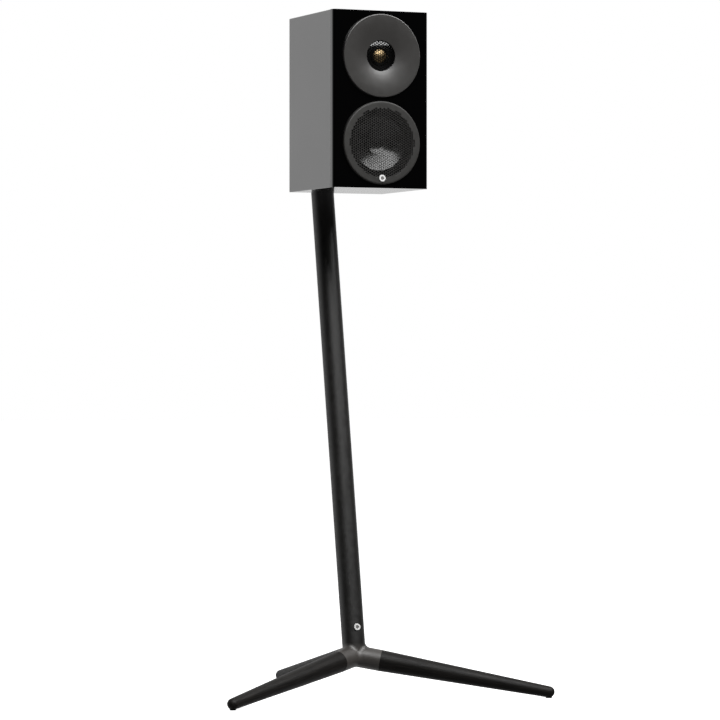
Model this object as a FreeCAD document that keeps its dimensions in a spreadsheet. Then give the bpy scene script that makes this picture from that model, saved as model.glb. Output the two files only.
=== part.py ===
import FreeCAD, Part
import math
import os
import Sketcher

# A two-way loudspeaker on a leaning-column tripod stand.
# Millimetres, +Z up, the speaker faces -Y. The origin is on the floor, in the middle of the three feet.

Vector = FreeCAD.Vector
Rotation = FreeCAD.Rotation

DRIVING_SIZES = {
    # cabinet
    "cabinet_width": 152.0,
    "cabinet_height": 260.0,
    "cabinet_depth": 168.5,
    "cabinet_bottom": 752.0,
    "baffle_thick": 12.0,
    "panel_thick": 12.0,
    "baffle_round": 6.0,
    "panel_round": 1.0,
    "brace_thick": 9.0,
    "foam_thick": 15.0,
    # both drivers
    "driver_spacing": 127.6,
    "rim_radius": 61.0,
    "rim_proud": 4.5,
    "flange_radius": 59.9,
    "flange_front": 1.5,
    "seat_depth": 4.0,
    "opening_radius": 54.5,
    "tweeter_opening": 32.0,
    "sheet_thick": 1.0,
    "screw_circle": 57.2,
    "screw_radius": 1.5,
    "screw_length": 9.0,
    # woofer, measured back from the baffle's face where a depth is meant
    "cone_radius": 43.0,
    "cone_seat": 8.3,
    "landing_radius": 52.2,
    "landing_wide": 3.0,
    "neck_radius": 12.6,
    "neck_depth": 23.0,
    "cone_thick": 0.9,
    "cap_radius": 15.0,
    "cap_sink": 4.0,
    "spider_depth": 28.0,
    "motor_depth": 44.0,
    "coil_thick": 0.8,
    "coil_length": 12.0,
    "gap_plate_thick": 5.0,
    "magnet_thick": 16.0,
    "magnet_radius": 40.0,
    "basket_wall": 3.0,
    # tweeter
    "throat_radius": 22.8,
    "waveguide_deep": 4.4,
    "mesh_rise": 3.7,
    "mesh_seat": 2.0,
    "dome_radius": 10.3,
    "dome_rise": 4.2,
    "dome_seat": 5.0,
    "tweeter_motor": 5.4,
    "tweeter_magnet_radius": 26.0,
    "rear_cup_depth": 40.0,
    # badges
    "badge_radius": 5.0,
    "badge_drop": 52.0,
    "badge_proud": 1.0,
    # terminals and port
    "terminal_rise": 205.0,
    "terminal_plate_thick": 3.0,
    "post_offset": 19.0,
    "stem_radius": 3.0,
    "plug_radius": 2.0,
    "stem_length": 18.0,
    "insert_radius": 5.0,
    "knob_radius": 8.5,
    "port_rise": 50.0,
    "port_radius": 16.0,
    "port_length": 70.0,
    # crossover
    "board_stand": 6.0,
    "board_thick": 1.6,
    "board_side": 100.0,
    "board_inset": 13.0,
    "board_lift": 12.0,
    "wire_radius": 1.0,
    "wire_bend": 6.0,
    # tilt bracket
    "pivot_back": 26.0,
    "pivot_radius": 4.0,
    "eye_radius": 11.0,
    "tongue_thick": 10.0,
    "ear_thick": 8.0,
    "collar_radius": 24.0,
    "collar_length": 40.0,
    # stand
    "leg_reach": 290.0,
    "leg_start": 40.0,
    "leg_root_radius": 16.0,
    "leg_tip_radius": 8.5,
    "pad_skin": 0.5,
    "pad_radius": 4.5,
    "pad_height": 1.6,
    "hub_rise": 60.0,
    "hub_blend": 9.5,
    "hub_behind_cabinet": 14.3,
    "column_radius": 17.2,
    "column_wall": 2.0,
    "column_start": 26.0,
    "column_lean": 10.04,
    "column_badge_up": 41.0,
    "column_above_pivot": 30.0,
    "bolt_radius": 4.0,
    "bolt_length": 50.0,
    # clearances
    "running_gap": 0.05,
    "loose_gap": 0.3,
}


class Size:
    """A dimension held by the sheet: its number, and the expression that gives it."""

    def __init__(self, value, text):
        self.value = float(value)
        self.text = text

    def __add__(self, other):
        other = as_size(other)
        return Size(self.value + other.value, f"({self.text} + {other.text})")

    def __sub__(self, other):
        other = as_size(other)
        return Size(self.value - other.value, f"({self.text} - {other.text})")

    def __mul__(self, other):
        other = as_size(other)
        return Size(self.value * other.value, f"({self.text} * {other.text})")

    def __truediv__(self, other):
        other = as_size(other)
        return Size(self.value / other.value, f"({self.text} / {other.text})")

    def __radd__(self, other):
        return as_size(other) + self

    def __rsub__(self, other):
        return as_size(other) - self

    def __rmul__(self, other):
        return as_size(other) * self

    def __neg__(self):
        return Size(-self.value, f"(-1 * {self.text})")


def as_size(number):
    if isinstance(number, Size):
        return number
    return Size(number, f"({float(number)!r})")


def sine(angle):
    return Size(math.sin(math.radians(angle.value)), f"sin({angle.text} * 1 deg)")


def cosine(angle):
    return Size(math.cos(math.radians(angle.value)), f"cos({angle.text} * 1 deg)")


def root(size):
    return Size(math.sqrt(size.value), f"sqrt({size.text})")


def fill_sheet(document):
    """Writes the driving sizes into the document's sheet and hands back one Size for each."""
    sheet = document.addObject("Spreadsheet::Sheet", "sizes")
    named = {}
    for row, (alias, value) in enumerate(DRIVING_SIZES.items(), start=1):
        sheet.set(f"A{row}", alias)
        sheet.set(f"B{row}", repr(value))
        sheet.setAlias(f"B{row}", alias)
        named[alias] = Size(value, f"sizes.{alias}")
    document.recompute()
    return named


doc = FreeCAD.newDocument("speaker")
S = fill_sheet(doc)

# Places that follow from the driving sizes.
HUB_Y = -S["leg_reach"] / 4
CABINET_Y = HUB_Y - S["hub_behind_cabinet"]
FRONT_Y = CABINET_Y - S["cabinet_depth"] / 2
REAR_Y = CABINET_Y + S["cabinet_depth"] / 2
INNER_FRONT_Y = FRONT_Y + S["baffle_thick"]
INNER_DEPTH = S["cabinet_depth"] - S["baffle_thick"] - S["panel_thick"]
MIDDLE_Z = S["cabinet_bottom"] + S["cabinet_height"] / 2
WOOFER_Z = MIDDLE_Z - S["driver_spacing"] / 2
TWEETER_Z = MIDDLE_Z + S["driver_spacing"] / 2
TERMINAL_Z = S["cabinet_bottom"] + S["terminal_rise"]
PIVOT_Z = MIDDLE_Z
HALF_WIDTH = S["cabinet_width"] / 2
INNER_HALF = HALF_WIDTH - S["panel_thick"]
PIVOT_Y = REAR_Y + S["pivot_back"]
LEAN_SINE = sine(S["column_lean"])
LEAN_COSINE = cosine(S["column_lean"])
TIP_Z = S["leg_tip_radius"] + S["pad_skin"]
LEG_DROP = S["hub_rise"] - TIP_Z
LEG_LENGTH = root(S["leg_reach"] * S["leg_reach"] + LEG_DROP * LEG_DROP)

# Which way a sub-part's own +Z points.
UPRIGHT = Rotation()
FORWARD = Rotation(Vector(1, 0, 0), 90)
BACKWARD = Rotation(Vector(0, 1, 1), 180)
SIDEWAYS = Rotation(Vector(0, 1, 0), 90)
LEANING = Rotation(Vector(1, 0, 0), -S["column_lean"].value)

LEG_BEARINGS = {"rear_leg": 90, "left_leg": 210, "right_leg": 330}


def leg_rotation(bearing):
    drop = math.degrees(math.asin(LEG_DROP.value / LEG_LENGTH.value))
    return Rotation(Vector(0, 0, 1), bearing) * Rotation(Vector(0, 1, 0), 90 + drop)


# Building blocks.


def bind(item, path, size):
    item.setExpression(path, as_size(size).text)


def place(item, x=0, y=0, z=0, rotation=UPRIGHT):
    item.Placement = FreeCAD.Placement(Vector(as_size(x).value, as_size(y).value, as_size(z).value), rotation)
    for axis, size in (("x", x), ("y", y), ("z", z)):
        if isinstance(size, Size):
            bind(item, f".Placement.Base.{axis}", size)


def box(label, low, sides):
    item = doc.addObject("Part::Box", label)
    for name, side in zip(("Length", "Width", "Height"), sides):
        bind(item, name, side)
    place(item, *low)
    return item


def cylinder(label, radius, height, x=0, y=0, z=0, rotation=UPRIGHT):
    item = doc.addObject("Part::Cylinder", label)
    bind(item, "Radius", radius)
    bind(item, "Height", height)
    place(item, x, y, z, rotation)
    return item


def hexagon(label, reach, height, x=0, y=0, z=0, rotation=UPRIGHT):
    item = doc.addObject("Part::Prism", label)
    item.Polygon = 6
    bind(item, "Circumradius", reach)
    bind(item, "Height", height)
    place(item, x, y, z, rotation)
    return item


def sphere(label, radius, x=0, y=0, z=0):
    item = doc.addObject("Part::Sphere", label)
    bind(item, "Radius", radius)
    place(item, x, y, z)
    return item


def cut(label, base, tool):
    item = doc.addObject("Part::Cut", label)
    item.Base = base
    item.Tool = tool
    return item


def fuse(label, pieces):
    item = doc.addObject("Part::MultiFuse", label)
    item.Shapes = pieces
    return item


def group(label, pieces):
    """Separate solids that share one node."""
    item = doc.addObject("Part::Compound", label)
    item.Links = pieces
    return item


def new_body(label, x=0, y=0, z=0, rotation=UPRIGHT):
    body = doc.addObject("PartDesign::Body", label)
    place(body, x, y, z, rotation)
    return body


def new_sketch(body, plane_role):
    sketch = body.newObject("Sketcher::SketchObject", f"{body.Name}_sketch")
    plane = [item for item in body.Origin.OriginFeatures if item.Role == plane_role][0]
    sketch.AttachmentSupport = [(plane, "")]
    sketch.MapMode = "FlatFace"
    return sketch


def arc_between(start, end, radius):
    """The short arc from start to end: anticlockwise for a positive radius, clockwise for a negative one."""
    chord = end - start
    turn = 1 if radius > 0 else -1
    toward = Vector(-chord.y, chord.x, 0) * turn
    toward.normalize()
    centre = (start + end) / 2 + toward * math.sqrt(max(radius * radius - chord.Length**2 / 4, 0))
    first, last = (start, end) if turn > 0 else (end, start)
    angles = [math.atan2(point.y - centre.y, point.x - centre.x) for point in (first, last)]
    circle = Part.Circle(centre, Vector(0, 0, 1), abs(radius))
    return Part.ArcOfCircle(circle, *angles)


def draw_outline(sketch, corners):
    """Closes an outline of (across, up) corners; a third value is the radius of the edge that follows."""
    first = sketch.GeometryCount
    points = [Vector(as_size(corner[0]).value, as_size(corner[1]).value, 0) for corner in corners]
    ends = []
    for index, corner in enumerate(corners):
        start, end = points[index], points[(index + 1) % len(points)]
        if len(corner) == 2:
            sketch.addGeometry(Part.LineSegment(start, end), False)
            ends.append((1, 2))
            continue
        radius = as_size(corner[2])
        edge = sketch.addGeometry(arc_between(start, end, radius.value), False)
        ends.append((1, 2) if radius.value > 0 else (2, 1))
        rule = sketch.addConstraint(Sketcher.Constraint("Radius", edge, abs(radius.value)))
        sketch.setExpression(f"Constraints[{rule}]", f"abs({radius.text})")
    for index, corner in enumerate(corners):
        following = (index + 1) % len(corners)
        here, there = (first + index, ends[index][1]), (first + following, ends[following][0])
        sketch.addConstraint(Sketcher.Constraint("Coincident", *here, *there))
        for kind, size in (("DistanceX", corner[0]), ("DistanceY", corner[1])):
            size = as_size(size)
            rule = sketch.addConstraint(
                Sketcher.Constraint(kind, -1, 1, first + index, ends[index][0], size.value)
            )
            sketch.setExpression(f"Constraints[{rule}]", size.text)


def draw_circle(sketch, across, up, radius):
    across, up, radius = as_size(across), as_size(up), as_size(radius)
    circle = Part.Circle(Vector(across.value, up.value, 0), Vector(0, 0, 1), radius.value)
    index = sketch.addGeometry(circle, False)
    for kind, size in (("DistanceX", across), ("DistanceY", up)):
        rule = sketch.addConstraint(Sketcher.Constraint(kind, -1, 1, index, 3, size.value))
        sketch.setExpression(f"Constraints[{rule}]", size.text)
    rule = sketch.addConstraint(Sketcher.Constraint("Radius", index, radius.value))
    sketch.setExpression(f"Constraints[{rule}]", radius.text)


def draw_rectangle(sketch, left, bottom, right, top):
    draw_outline(sketch, [(left, bottom), (right, bottom), (right, top), (left, top)])


def pad(body, sketch, length):
    feature = body.newObject("PartDesign::Pad", f"{body.Name}_pad")
    feature.Profile = sketch
    bind(feature, "Length", length)


def pocket(body, sketch, length, reverse=False):
    feature = body.newObject("PartDesign::Pocket", f"{body.Name}_pocket")
    feature.Profile = sketch
    feature.Reversed = reverse
    bind(feature, "Length", length)
    return feature


def revolved(label, outline, x=0, y=0, z=0, rotation=UPRIGHT):
    """A turned sub-part: an outline of (radius, height) corners about its own Z axis."""
    body = new_body(label, x, y, z, rotation)
    sketch = new_sketch(body, "XZ_Plane")
    draw_outline(sketch, outline)
    feature = body.newObject("PartDesign::Revolution", f"{label}_turn")
    feature.Profile = sketch
    feature.ReferenceAxis = (sketch, ["V_Axis"])
    feature.Angle = 360
    return body


def ring(label, inner, outer, back, front, z):
    """A plain driver ring between two depths behind the baffle's face."""
    outline = [(inner, -back), (outer, -back), (outer, -front), (inner, -front)]
    return revolved(label, outline, 0, FRONT_Y, z, FORWARD)


def screw_places(centre_z=0):
    """The four screws of one driver's flange, as (across, up) pairs."""
    reach = S["screw_circle"] * math.sqrt(0.5)
    return [(reach * side, centre_z + reach * level) for side in (-1, 1) for level in (-1, 1)]


def socket_screws(label, outline, holes, centre_z, socket):
    """Screws driven from behind, each with a six-sided socket in its head."""
    crown = outline[-1][1]
    pieces = []
    for number, (across, up) in enumerate(holes):
        name = f"{label}_{number}"
        blank = revolved(f"{name}_blank", outline, as_size(across), REAR_Y, centre_z + up, BACKWARD)
        foot = REAR_Y + crown - socket
        recess = hexagon(f"{name}_socket", socket, 3, as_size(across), foot, centre_z + up, BACKWARD)
        pieces.append(cut(name, blank, recess))
    return group(label, pieces)


def drill_flange(body):
    """Clearance holes for the four flange screws."""
    plan = new_sketch(body, "XY_Plane")
    for across, up in screw_places():
        draw_circle(plan, across, up, S["screw_radius"] + S["running_gap"])
    pocket(body, plan, S["seat_depth"])


def around(body, feature, count):
    """Repeats a feature round the body's own Z axis."""
    axis = [item for item in body.Origin.OriginFeatures if item.Role == "Z_Axis"][0]
    pattern = body.newObject("PartDesign::PolarPattern", f"{body.Name}_pattern")
    pattern.Originals = [feature]
    pattern.Axis = (axis, [""])
    pattern.Angle = 360
    pattern.Occurrences = count
    body.Tip = pattern
    return pattern


# Cabinet.


def front_baffle():
    body = new_body("front_baffle", 0, FRONT_Y, S["cabinet_bottom"])
    plan = new_sketch(body, "XY_Plane")
    corner = S["baffle_round"]
    draw_outline(
        plan,
        [
            (-HALF_WIDTH, S["baffle_thick"]),
            (-HALF_WIDTH, corner, corner),
            (corner - HALF_WIDTH, 0),
            (HALF_WIDTH - corner, 0, corner),
            (HALF_WIDTH, corner),
            (HALF_WIDTH, S["baffle_thick"]),
        ],
    )
    pad(body, plan, S["cabinet_height"])
    recess = S["rim_radius"] + S["loose_gap"]
    for radii, depth in (
        ((S["opening_radius"], S["tweeter_opening"]), S["baffle_thick"]),
        ((recess, recess), S["seat_depth"]),
    ):
        face = new_sketch(body, "XZ_Plane")
        for centre_z, radius in zip((WOOFER_Z, TWEETER_Z), radii):
            draw_circle(face, 0, centre_z - S["cabinet_bottom"], radius)
        pocket(body, face, depth)
    pilots = new_sketch(body, "XZ_Plane")
    for centre_z in (WOOFER_Z, TWEETER_Z):
        for across, up in screw_places(centre_z - S["cabinet_bottom"]):
            draw_circle(pilots, across, up, S["screw_radius"] + S["running_gap"])
    pocket(body, pilots, S["screw_length"])
    return body


def side_panel(label, low_x):
    wall = S["panel_thick"]
    low = (low_x, INNER_FRONT_Y, S["cabinet_bottom"] + wall)
    return box(label, low, (wall, S["cabinet_depth"] - S["baffle_thick"], S["cabinet_height"] - wall * 2))


def end_panel(label, low_z, outward):
    """The top or bottom board, with its two long outer edges eased."""
    body = new_body(label, 0, REAR_Y, low_z)
    face = new_sketch(body, "XZ_Plane")
    wall, ease = S["panel_thick"], S["panel_round"]
    if outward > 0:
        outline = [
            (-HALF_WIDTH, 0),
            (HALF_WIDTH, 0),
            (HALF_WIDTH, wall - ease, ease),
            (HALF_WIDTH - ease, wall),
            (ease - HALF_WIDTH, wall, ease),
            (-HALF_WIDTH, wall - ease),
        ]
    else:
        outline = [
            (-HALF_WIDTH, wall),
            (-HALF_WIDTH, ease, ease),
            (ease - HALF_WIDTH, 0),
            (HALF_WIDTH - ease, 0, ease),
            (HALF_WIDTH, ease),
            (HALF_WIDTH, wall),
        ]
    draw_outline(face, outline)
    pad(body, face, S["cabinet_depth"] - S["baffle_thick"])
    return body


BRACKET_HOLES = ((-20, -30), (20, -30), (20, 30), (-20, 30))
TERMINAL_HOLES = ((-34, -16), (34, -16), (34, 16), (-34, 16))


def rear_panel():
    """The back board, with the port hole, the terminal window and the screw holes."""
    body = new_body("rear_panel", 0, REAR_Y, S["cabinet_bottom"])
    wall = S["panel_thick"]
    board = new_sketch(body, "XZ_Plane")
    draw_rectangle(board, -INNER_HALF, wall, INNER_HALF, S["cabinet_height"] - wall)
    pad(body, board, wall)
    holes = new_sketch(body, "XZ_Plane")
    draw_circle(holes, 0, S["port_rise"], S["port_radius"] + 2)
    middle = S["cabinet_height"] / 2
    for across, up in BRACKET_HOLES:
        draw_circle(holes, across, middle + up, 2 + S["running_gap"])
    for across, up in TERMINAL_HOLES:
        draw_circle(holes, across, S["terminal_rise"] + up, 1.5 + S["running_gap"])
    draw_rectangle(holes, -28, S["terminal_rise"] - 11, 28, S["terminal_rise"] + 11)
    pocket(body, holes, wall, reverse=True)
    return body


def cabinet_brace():
    """A shelf with two windows, across the middle of the cabinet."""
    body = new_body("cabinet_brace", 0, INNER_FRONT_Y, MIDDLE_Z - S["brace_thick"] / 2)
    plan = new_sketch(body, "XY_Plane")
    rib = 14
    outer = INNER_HALF - rib
    draw_rectangle(plan, -INNER_HALF, 0, INNER_HALF, INNER_DEPTH)
    for left, right in ((-outer, as_size(-rib / 2)), (as_size(rib / 2), outer)):
        draw_rectangle(plan, left, rib + 17, right, INNER_DEPTH - rib)
    pad(body, plan, S["brace_thick"])
    return body


def damping_foam():
    low = (INNER_HALF - S["foam_thick"], INNER_FRONT_Y + 13, MIDDLE_Z + 12)
    return box("damping_foam", low, (S["foam_thick"], 110, 100))


def port_tube():
    """A straight reflex port with a flared collar outside."""
    inner = S["port_radius"]
    outline = [
        (inner, -S["port_length"]),
        (inner + 1.9, -S["port_length"]),
        (inner + 1.9, 0),
        (inner + 9, 0),
        (inner + 9, 1, 1.5),
        (inner + 7.5, 2.5),
        (inner + 5, 2.5, 5),
        (inner, -2.5),
    ]
    return revolved("port_tube", outline, 0, REAR_Y, S["cabinet_bottom"] + S["port_rise"], BACKWARD)


def front_badge():
    return cylinder(
        "front_badge",
        S["badge_radius"],
        S["badge_proud"],
        0,
        FRONT_Y - S["rim_proud"],
        WOOFER_Z - S["badge_drop"],
        FORWARD,
    )


# Woofer. Depths run back from the baffle's face, along the driver's own -Z.


def woofer_basket():
    """The cast frame: flange, landing for the surround, windowed skirt and a drum that holds the motor."""
    flange, front, seat = S["flange_radius"], S["flange_front"], S["seat_depth"]
    landing, step = S["cone_seat"], S["landing_radius"] + 0.2
    shelf = S["landing_radius"] - S["landing_wide"] - 0.4
    skirt = S["opening_radius"] - 0.6
    drum = S["magnet_radius"] + S["basket_wall"]
    motor, spider = S["motor_depth"], S["spider_depth"]
    body = revolved(
        "woofer_basket",
        [
            (step, -front),
            (flange, -front),
            (flange, -seat),
            (skirt, -seat),
            (skirt, -landing - 2),
            (drum, -spider - 2),
            (drum, -motor),
            (16, -motor),
            (16, 2 - motor),
            (36, 2 - motor),
            (36, -spider),
            (40.5, -spider),
            (skirt - 3, -landing - 2.2),
            (shelf, -landing - 2.2),
            (shelf, -landing),
            (step, -landing),
        ],
        0,
        FRONT_Y,
        WOOFER_Z,
        FORWARD,
    )
    drill_flange(body)
    window = new_sketch(body, "XZ_Plane")
    draw_rectangle(window, -13, 2 - spider, 13, -landing - 4.5)
    opening = pocket(body, window, flange)
    around(body, opening, 6)
    return body


def woofer_surround():
    """A rubber half roll between the basket's landing and the cone's edge."""
    top, under = 0.6 - S["cone_seat"], -S["cone_seat"]
    edge, landing = S["cone_radius"], S["landing_radius"]
    start = landing - S["landing_wide"]
    outline = [
        (landing, under),
        (landing, top),
        (start, top, 3.3),
        (edge - 0.3, top),
        (edge - 3, top),
        (edge - 3, under),
        (edge + 0.3, under, -2.7),
        (start - 0.6, under),
    ]
    return revolved("woofer_surround", outline, 0, FRONT_Y, WOOFER_Z, FORWARD)


def woofer_cone():
    edge, seat, thick = S["cone_radius"], S["cone_seat"], S["cone_thick"]
    neck, depth = S["neck_radius"], S["neck_depth"]
    outline = [
        (edge, -seat),
        (edge - 3, -seat, 150),
        (neck, 1.1 - depth),
        (neck, -depth, -150),
        (edge - 2.4, -seat - thick),
        (edge, -seat - thick),
    ]
    return revolved("woofer_cone", outline, 0, FRONT_Y, WOOFER_Z, FORWARD)


def cap_radius_of(base, rise):
    """The sphere's radius for a cap of a given base radius and rise."""
    return (base * base + rise * rise) / (rise * 2)


def woofer_dust_cap():
    """A dished cap, glued to the cone and hollow towards the listener."""
    base, sink, skin = S["cap_radius"], S["cap_sink"], 0.7
    slope = (S["neck_depth"] - 1.1 - S["cone_seat"]) / (S["cone_radius"] - 3 - S["neck_radius"])
    foot = S["cone_seat"] + (S["cone_radius"] - 3 - base) * slope - 1.1
    outline = [
        (0, -foot - sink, cap_radius_of(base, sink)),
        (base, -foot),
        (base, -foot - skin, -cap_radius_of(base, sink)),
        (0, -foot - skin - sink),
    ]
    return revolved("woofer_dust_cap", outline, 0, FRONT_Y, WOOFER_Z, FORWARD)


def coil_back():
    return S["motor_depth"] + S["gap_plate_thick"] / 2 + S["coil_length"] / 2


def woofer_coil_former():
    outer = S["neck_radius"]
    return ring("woofer_coil_former", outer - 0.4, outer, coil_back(), S["neck_depth"] - 1, WOOFER_Z)


def woofer_voice_coil():
    inner = S["neck_radius"]
    front = coil_back() - S["coil_length"]
    return ring("woofer_voice_coil", inner, inner + S["coil_thick"], coil_back(), front, WOOFER_Z)


def woofer_spider():
    """A corrugated disc that centres the voice coil."""
    inner, collar, outer, landing = S["neck_radius"], 15, 35, 39.5
    face, thick, wave, folds = -S["spider_depth"], 0.5, 1.1, 8
    step = (outer - collar) / folds
    front = [(landing, face), (landing, face + thick)]
    front += [(outer - step * i, face + thick + wave * (i % 2)) for i in range(folds + 1)]
    back = [(collar + step * i, face + wave * (i % 2)) for i in range(folds + 1)]
    outline = front + [(inner, face + thick), (inner, face)] + back
    return revolved("woofer_spider", outline, 0, FRONT_Y, WOOFER_Z, FORWARD)


def woofer_top_plate():
    front = S["motor_depth"]
    back = front + S["gap_plate_thick"]
    inner = S["neck_radius"] + S["coil_thick"] + 0.6
    return ring("woofer_top_plate", inner, S["magnet_radius"] - 2, back, front, WOOFER_Z)


def woofer_magnet():
    front = S["motor_depth"] + S["gap_plate_thick"]
    return ring("woofer_magnet", 20, S["magnet_radius"], front + S["magnet_thick"], front, WOOFER_Z)


def woofer_back_plate():
    """The back plate and its vented pole, in one piece."""
    front = S["motor_depth"] + S["gap_plate_thick"] + S["magnet_thick"]
    back = front + 5
    rim, pole, vent = S["magnet_radius"] - 2, S["neck_radius"] - 1, 3.5
    outline = [
        (vent, -back),
        (rim, -back),
        (rim, -front),
        (pole, -front),
        (pole, -S["motor_depth"]),
        (vent, -S["motor_depth"]),
    ]
    return revolved("woofer_back_plate", outline, 0, FRONT_Y, WOOFER_Z, FORWARD)


TAG_Y = FRONT_Y + S["motor_depth"] - 7
TAG_SPREAD = 4.5


def woofer_terminals():
    """A tag strip on the basket's side with two solder tags."""
    strip_x = -S["magnet_radius"] - S["basket_wall"] - 3
    tag_wide, tag_long = 2.8, 8
    strip = box("tag_strip", (strip_x, TAG_Y - 4, WOOFER_Z - 8), (3, 9, 16))
    tags = [
        box(f"tag_{side}", (strip_x - tag_long, TAG_Y, wire_z - tag_wide / 2), (tag_long, 0.8, tag_wide))
        for side, wire_z in ((-1, WOOFER_Z - TAG_SPREAD), (1, WOOFER_Z + TAG_SPREAD))
    ]
    return group("woofer_terminals", [strip] + tags)


def woofer_grille():
    """The formed guard: a flat face with a plain border and a turned-down rim. Its holes are left out."""
    rim, face, sheet = S["rim_radius"], S["rim_proud"], S["sheet_thick"]
    bend = 2
    outline = [
        (0, face - sheet),
        (rim - bend, face - sheet, -1),
        (rim - sheet, face - bend),
        (rim - sheet, -S["seat_depth"]),
        (rim, -S["seat_depth"]),
        (rim, face - bend, bend),
        (rim - bend, face),
        (0, face),
    ]
    return revolved("woofer_grille", outline, 0, FRONT_Y, WOOFER_Z, FORWARD)


# Tweeter.


def tweeter_waveguide():
    """A shallow flare that runs from the flat rim down to the throat."""
    rim, face, throat = S["rim_radius"], S["rim_proud"], S["throat_radius"]
    lip, deep = 1.2, S["waveguide_deep"]
    run = rim - lip - throat
    back, seat, skirt = -S["flange_front"], -S["seat_depth"], rim - S["sheet_thick"]
    outline = [
        (throat, back),
        (36, back),
        (36, back + 2.1),
        (skirt, back + 2.1),
        (skirt, seat),
        (rim, seat),
        (rim, face - lip, lip),
        (rim - lip, face, cap_radius_of(run, deep)),
        (throat, face - deep),
    ]
    return revolved("tweeter_waveguide", outline, 0, FRONT_Y, TWEETER_Z, FORWARD)


def tweeter_faceplate():
    """The mounting plate behind the waveguide, with the barrel that the motor is fixed to."""
    bore = S["throat_radius"] + 0.7
    outline = [
        (bore, -S["flange_front"]),
        (S["flange_radius"], -S["flange_front"]),
        (S["flange_radius"], -S["seat_depth"]),
        (31, -S["seat_depth"]),
        (31, -S["tweeter_motor"]),
        (bore, -S["tweeter_motor"]),
    ]
    body = revolved("tweeter_faceplate", outline, 0, FRONT_Y, TWEETER_Z, FORWARD)
    drill_flange(body)
    return body


def tweeter_mesh():
    """The domed guard in the throat. Its holes are left out."""
    edge, rise, skin = S["throat_radius"] - 0.3, S["mesh_rise"], 0.4
    foot = S["mesh_seat"]
    flange = S["throat_radius"] + 0.7
    outline = [
        (0, rise - foot, -cap_radius_of(edge, rise)),
        (edge, -foot),
        (flange, -foot),
        (flange, -foot - skin),
        (edge - skin, -foot - skin, cap_radius_of(edge - skin, rise)),
        (0, rise - foot - skin),
    ]
    return revolved("tweeter_mesh", outline, 0, FRONT_Y, TWEETER_Z, FORWARD)


def tweeter_dome():
    base, rise, seat, skin = S["dome_radius"], S["dome_rise"], S["dome_seat"], 0.3
    outline = [
        (0, rise - seat, -cap_radius_of(base, rise)),
        (base, -seat),
        (base - skin, -seat, cap_radius_of(base - skin, rise - skin)),
        (0, rise - seat - skin),
    ]
    return revolved("tweeter_dome", outline, 0, FRONT_Y, TWEETER_Z, FORWARD)


def tweeter_surround():
    inner, seat, motor = S["dome_radius"] + 0.1, S["dome_seat"], S["tweeter_motor"]
    outer, landing = 15, 18
    outline = [
        (landing, -motor),
        (landing, 0.3 - motor),
        (outer, 0.3 - motor, 2.7),
        (inner, -seat),
        (inner, -seat - 0.3),
        (inner + 0.3, -seat - 0.3, -2.4),
        (outer - 0.3, -motor),
    ]
    return revolved("tweeter_surround", outline, 0, FRONT_Y, TWEETER_Z, FORWARD)


def tweeter_voice_coil():
    outer = S["dome_radius"]
    return ring("tweeter_voice_coil", outer - 0.4, outer, S["tweeter_motor"] + 4.5, S["dome_seat"], TWEETER_Z)


def tweeter_top_plate():
    front = S["tweeter_motor"]
    return ring("tweeter_top_plate", S["dome_radius"] + 0.5, 27, front + 3, front, TWEETER_Z)


def tweeter_magnet():
    front = S["tweeter_motor"] + 3
    return ring("tweeter_magnet", 15, S["tweeter_magnet_radius"], front + 10, front, TWEETER_Z)


def tweeter_back_plate():
    front = S["tweeter_motor"] + 13
    back, rim, pole, vent = front + 4, S["tweeter_magnet_radius"] - 1, S["dome_radius"] - 0.8, 2.5
    top = S["tweeter_motor"] + 0.5
    outline = [(vent, -back), (rim, -back), (rim, -front), (pole, -front), (pole, -top), (vent, -top)]
    return revolved("tweeter_back_plate", outline, 0, FRONT_Y, TWEETER_Z, FORWARD)


def tweeter_rear_cup():
    """The closed rear chamber behind the motor."""
    inner, wall = 27.3, 2
    front, back = S["tweeter_motor"], S["rear_cup_depth"]
    outline = [
        (0, -back),
        (inner + wall, -back),
        (inner + wall, -front),
        (inner, -front),
        (inner, wall - back),
        (0, wall - back),
    ]
    return revolved("tweeter_rear_cup", outline, 0, FRONT_Y, TWEETER_Z, FORWARD)


def driver_screws():
    """Four screws in each driver's flange, out of sight below the trims."""
    pieces = []
    shank, head, top = S["screw_radius"], 2.6, -S["flange_front"]
    outline = [(0, -S["screw_length"]), (shank, -S["screw_length"]), (shank, top)]
    outline += [(head, top), (head, top + 1.6), (0, top + 1.6)]
    for name, centre_z in (("woofer", WOOFER_Z), ("tweeter", TWEETER_Z)):
        for number, (across, up) in enumerate(screw_places()):
            label = f"{name}_screw_{number}"
            pieces.append(revolved(label, outline, across, FRONT_Y, centre_z + up, FORWARD))
    return group("driver_screws", pieces)


# Crossover, on the left wall above the brace.

BOARD_X = S["board_stand"] - INNER_HALF
BOARD_TOP_X = BOARD_X + S["board_thick"]
BOARD_Y = INNER_FRONT_Y + S["board_inset"]
BOARD_Z = MIDDLE_Z + S["board_lift"]
BOARD_CORNERS = [(along, up) for along in (6, 94) for up in (6, 94)]


def crossover_board():
    body = new_body("crossover_board", BOARD_X, BOARD_Y, BOARD_Z)
    face = new_sketch(body, "YZ_Plane")
    draw_rectangle(face, 0, 0, S["board_side"], S["board_side"])
    for along, up in BOARD_CORNERS:
        draw_circle(face, along, up, S["screw_radius"] + S["running_gap"])
    pad(body, face, S["board_thick"])
    return body


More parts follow.
